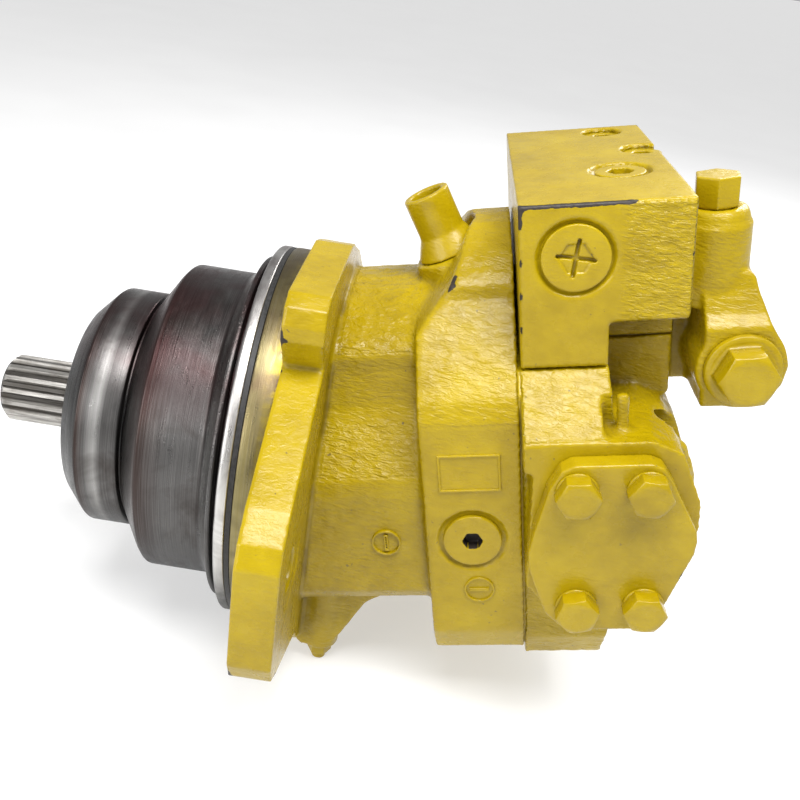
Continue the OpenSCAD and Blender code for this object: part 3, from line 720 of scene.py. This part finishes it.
# the paint has closed the joint between collar and port plate down to a fine groove
SEAM_HALF = [(-60, 65.3), (-69.6, 65.3), (-77.5, 57.6), (-77.5, -64), (-72.5, -77.5), (-59.6, -86.9),
             (-45, -88.9)]
SEAM = SEAM_HALF + [(-y, h) for y, h in reversed(SEAM_HALF)]
seam = rim(SEAM, [(y * 0.9, h * 0.9) for y, h in SEAM], 103.4, 105.2, lambda y, h, a: rear(a, y, h))
seam = sculpt(seam, 0.5, 2, 0.1, rough=0.3, seed=23.0)
add("painted_seam", seam, CAST, "casing", "gasket_fibre", "port_plate_gasket")

# raised marks of the casting: the type plate's frame and two round foundry marks
MARKS = (
    ("plate_frame", [rim(box(82, 23.3, 13.5, 9.2), box(82, 23.3, 12.3, 8.0), -78.8, -81.0)]),
    ("collar_mark", [rim(circle(84, -39, 7.0), circle(84, -39, 5.9), -78.8, -80.9),
                     rim(box(84, -39, 4.6, 0.9), box(84, -39, 3.4, 0.2), -78.8, -80.9)]),
    ("neck_mark", [rim(circle(42.6, -15.6, 6.8), circle(42.6, -15.6, 5.7), -73.8, -75.9),
                   rim(box(42.6, -15.6, 1.0, 4.4), box(42.6, -15.6, 0.3, 3.6), -73.8, -75.9)]),
)
for name, parts in MARKS:
    m = sculpt(joined(*parts), 0.3, 4, 0.05, rough=0.3, keep=0.6, seed=19.0)
    add(name, m, CAST, "casing", "painted_casting")

BOLT_CORNERS = [(i * BOLT_A, j * BOLT_H) for j in (1, -1) for i in (-1, 1)]
HEAD_TURNS = (0.21, 0.05, 0.37, 0.12)
for side, node in ((-1, "near_cover_bolts"), (1, "far_cover_bolts")):
    studs = []
    for k, (da, dh) in enumerate(BOLT_CORNERS):
        m = hex_stud(16, 8.6, 6, 24, 8.6, 1.3)
        at = rear(PORT_A + da, side * COVER_Y, PORT_H + dh)
        m.transform(along(at, (0, side, 0), HEAD_TURNS[k]))
        m.update()
        studs.append(painted(m, 0.5 if k == 1 else 0.15, 2.0 * k + side))
    screws = node.replace("cover_bolts", "cover_screws")
    add(screws, joined(*studs), SMOOTH, "casing", "painted_steel", node)

for name, node, voxel, steps in (
    ("drain_stub", "drain_nipple", 0.6, 6), ("side_plug", "collar_plug", 0.4, 3),
    ("spool_plug", "front_plug", 0.4, 3), ("top_port_plug", "top_plug", 0.4, 3),
    ("block_screws", "control_block_bolts", 0.4, 3), ("valve_cap", "end_valve_cap", 0.4, 3),
    ("bleed_nipple", "bleed_screw", 0.3, 3),
):
    m = sculpt(NODES[node].data, voxel, steps, 0.08, seed=17.0)
    if name == "side_plug":
        # painted shade inside the side plug's socket
        blacken(m, SIDE_PLUG, 4.4, -80.2)
    add(name, m, SMOOTH, "casing", "painted_steel", node)

plug = hex_stud(22, 14, 11, 20, 16, 3.0)
plug.transform(along(rear(*VALVE_PLUG), (0, -1, 0), 0.26))
plug.update()
add("valve_plug", painted(plug, 0.15, 5.0), SMOOTH, "casing", "painted_steel", "end_valve_plug")

# ---------------------------------------------------------------- CAD nodes that stay
for node, obj in NODES.items():
    if obj.hide_render:
        continue
    material = SPLINE if node == "drive_shaft" else MATERIALS[SLOTS[node]]
    obj.data.materials.clear()
    obj.data.materials.append(material)

# ---------------------------------------------------------------- stage, light, camera
floor = bpy.data.meshes.new("floor")
floor_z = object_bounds()[0][2] - 0.5 * MM
bm = bmesh.new()
bmesh.ops.create_grid(bm, x_segments=8, y_segments=8, size=45.0)
for v in bm.verts:
    v.co.z = floor_z
bm.to_mesh(floor)
bm.free()
white = rgb(1.0, 1.0, 1.0)
g = Graph("pale_floor", Specular_IOR_Level=0.2, Emission_Color=white, Emission_Strength=0.50)
mottle = g.grade(g.noise(6, 3), 0.3, 0.7)
g.put("Base Color", g.mix(mottle, rgb(0.50, 0.50, 0.50), rgb(0.54, 0.54, 0.54)))
g.put("Roughness", g.grade(g.noise(40, 2), 0.3, 0.7, 0.6, 0.75))
floor.materials.append(g.mat)
ground = bpy.data.objects.new("floor", floor)
bpy.context.scene.collection.objects.link(ground)

world = bpy.data.worlds.new("studio")
bpy.context.scene.world = world
world.use_nodes = True
sky = world.node_tree.nodes["Background"]
sky.inputs["Color"].default_value = white
sky.inputs["Strength"].default_value = 0.42
bpy.context.scene.view_settings.view_transform = "Standard"


def lamp(name, place, target, size, power):
    data = bpy.data.lights.new(name, "AREA")
    data.shape = "RECTANGLE"
    data.size, data.size_y = size
    data.energy = power
    o = bpy.data.objects.new(name, data)
    o.location = place
    o.rotation_euler = (Vector(target) - Vector(place)).to_track_quat("-Z", "Y").to_euler()
    bpy.context.scene.collection.objects.link(o)


lamp("key", (0.15, -0.45, 1.15), (0.05, 0, 0), (0.9, 0.5), 24)
lamp("fill", (-0.9, -0.9, 0.45), (0, 0, 0), (0.7, 0.7), 8)
lamp("rim", (0.7, 0.9, 0.8), (0.05, 0, 0), (0.8, 0.5), 10)

cam_data = bpy.data.cameras.new("camera")
cam_data.sensor_width = 36.0
cam_data.lens = 40.1
cam_data.clip_start = 0.01
camera = bpy.data.objects.new("camera", cam_data)
forward = Vector((-0.0047, 0.8867, -0.4622)).normalized()
up = Vector((-0.158, 0.4558, 0.8759))
right = forward.cross(up).normalized()
up = right.cross(forward)
turn = Matrix((right, up, -forward)).transposed().to_4x4()
camera.matrix_world = Matrix.Translation((0.0528, -0.4049, 0.2393)) @ turn
bpy.context.scene.collection.objects.link(camera)
bpy.context.scene.camera = camera
